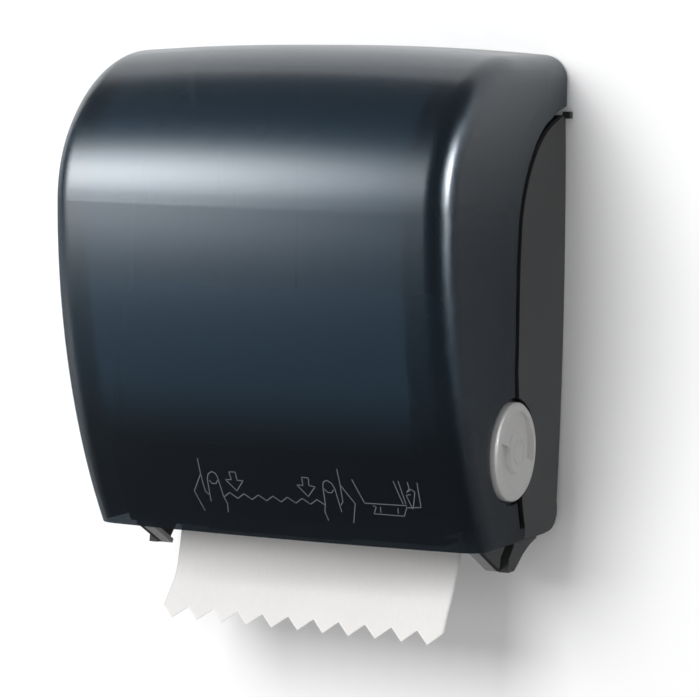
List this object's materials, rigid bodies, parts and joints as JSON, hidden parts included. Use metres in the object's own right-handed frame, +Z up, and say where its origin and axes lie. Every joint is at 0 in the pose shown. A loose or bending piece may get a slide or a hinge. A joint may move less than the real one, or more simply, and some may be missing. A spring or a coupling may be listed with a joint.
{
  "type": "paper towel dispenser",
  "caption": "Wall dispenser for rolled paper towels: a smoked cover that swings down, a drum with a hidden knife that cuts the towel as it is pulled, and a side feed knob.",
  "frame": {"origin": "centre of the four wall screw holes, on the wall", "axes": "+Y into the wall, +X to the right of someone facing the dispenser, +Z up"},
  "size_m": [0.2902, 0.1795, 0.3751],
  "materials": {
    "smoke_plastic": "smoked, translucent, satin",
    "housing_plastic": "fine pebble grain",
    "frame_plastic": "satin black",
    "light_plastic": "satin light grey",
    "knob_plastic": "satin light grey",
    "bearing_plastic": "smooth natural",
    "drum_plastic": "satin dark grey",
    "rubber": "matt",
    "steel": "bright zinc",
    "blade_steel": "ground",
    "spring_steel": "drawn wire",
    "paper": "soft white towel paper",
    "cardboard": "kraft"
  },
  "bodies": {
    "housing": {"rear_housing": "housing_plastic", "exit_chute": "housing_plastic", "chute_rails": "light_plastic", "side_frame_left": "frame_plastic", "side_frame_right": "frame_plastic", "mechanism_panel": "frame_plastic", "hinge_pins": "steel", "drum_bushings": "bearing_plastic", "cam_ring": "bearing_plastic", "frame_screws": "steel", "latch_keeper": "frame_plastic", "paper_web": "paper", "towel_tail": "paper", "toggle_spring": "spring_steel", "pinch_springs": "spring_steel", "arm_brackets": "frame_plastic", "arm_pins": "steel"},
    "cover": {"front_cover": "smoke_plastic"},
    "lock": {"lock_barrel": "steel", "lock_cam": "steel"},
    "drum": {"drum_shell": "drum_plastic", "drum_ends": "drum_plastic", "drum_grips": "rubber", "drum_shaft": "steel", "feed_knob": "knob_plastic", "ratchet_wheel": "bearing_plastic", "crank_disc": "bearing_plastic"},
    "knife": {"knife_carrier": "drum_plastic", "cutting_knife": "blade_steel"},
    "pawl": {"ratchet_pawl": "bearing_plastic"},
    "pinch_carrier": {"pinch_arm_left": "frame_plastic", "pinch_arm_right": "frame_plastic", "pinch_axle": "steel"},
    "pinch_rollers": {"pinch_roller": "rubber", "pinch_wheels": "light_plastic"},
    "stub_roll": {"roll_paper": "paper", "roll_core": "cardboard", "stub_hubs": "bearing_plastic"},
    "arm_left": {"roll_arm_left": "frame_plastic"},
    "arm_right": {"roll_arm_right": "frame_plastic"},
    "hub_left": {"roll_hub_left": "bearing_plastic"},
    "hub_right": {"roll_hub_right": "bearing_plastic"}
  },
  "joints": [
    {"name": "cover_hinge", "type": "hinge", "parent": "housing", "child": "cover", "pos_m": [0, -0.068, -0.157], "axis": [1, 0, 0], "range_deg": [0, 95], "deforming": ["towel_tail"]},
    {"name": "lock_turn", "type": "hinge", "parent": "cover", "child": "lock", "pos_m": [-0.132, -0.036, 0.119], "axis": [-1, 0, 0], "range_deg": [0, 90]},
    {"name": "drum_spin", "type": "hinge", "parent": "housing", "child": "drum", "pos_m": [0, -0.0748, -0.1053], "axis": [-1, 0, 0], "continuous": true, "deforming": ["toggle_spring", "paper_web"]},
    {"name": "knife_swing", "type": "hinge", "parent": "drum", "child": "knife", "pos_m": [0, -0.06914, -0.1305], "axis": [1, 0, 0], "range_deg": [0, 18], "stiffness_Nm_per_rad": 0.05, "springref_deg": -20.05},
    {"name": "pawl_swing", "type": "hinge", "parent": "housing", "child": "pawl", "pos_m": [0.1033, -0.09264, -0.07175], "axis": [1, 0, 0], "range_deg": [-8, 6], "stiffness_Nm_per_rad": 0.01},
    {"name": "pinch_swing", "type": "hinge", "parent": "housing", "child": "pinch_carrier", "pos_m": [0, -0.126, -0.055], "axis": [-1, 0, 0], "range_deg": [0, 3], "stiffness_Nm_per_rad": 2, "springref_deg": -6.88, "deforming": ["pinch_springs"]},
    {"name": "pinch_spin", "type": "hinge", "parent": "pinch_carrier", "child": "pinch_rollers", "pos_m": [0, -0.1218, -0.0914], "axis": [-1, 0, 0], "continuous": true},
    {"name": "stub_spin", "type": "hinge", "parent": "housing", "child": "stub_roll", "pos_m": [0, -0.114, -0.041], "axis": [-1, 0, 0], "continuous": true},
    {"name": "arm_left_swing", "type": "hinge", "parent": "housing", "child": "arm_left", "pos_m": [-0.1066, -0.01, 0.057], "axis": [0, 0, -1], "range_deg": [0, 8], "stiffness_Nm_per_rad": 2},
    {"name": "arm_right_swing", "type": "hinge", "parent": "housing", "child": "arm_right", "pos_m": [0.1066, -0.01, 0.057], "axis": [0, 0, 1], "range_deg": [0, 8], "stiffness_Nm_per_rad": 2},
    {"name": "hub_left_spin", "type": "hinge", "parent": "arm_left", "child": "hub_left", "pos_m": [-0.098, -0.09, 0.057], "axis": [-1, 0, 0], "continuous": true},
    {"name": "hub_right_spin", "type": "hinge", "parent": "arm_right", "child": "hub_right", "pos_m": [0.098, -0.09, 0.057], "axis": [-1, 0, 0], "continuous": true}
  ],
  "couplings": [
    {"joint": "pinch_spin", "follows": "drum_spin", "ratio": -2},
    {"joint": "stub_spin", "follows": "drum_spin", "ratio": -0.9417}
  ]
}
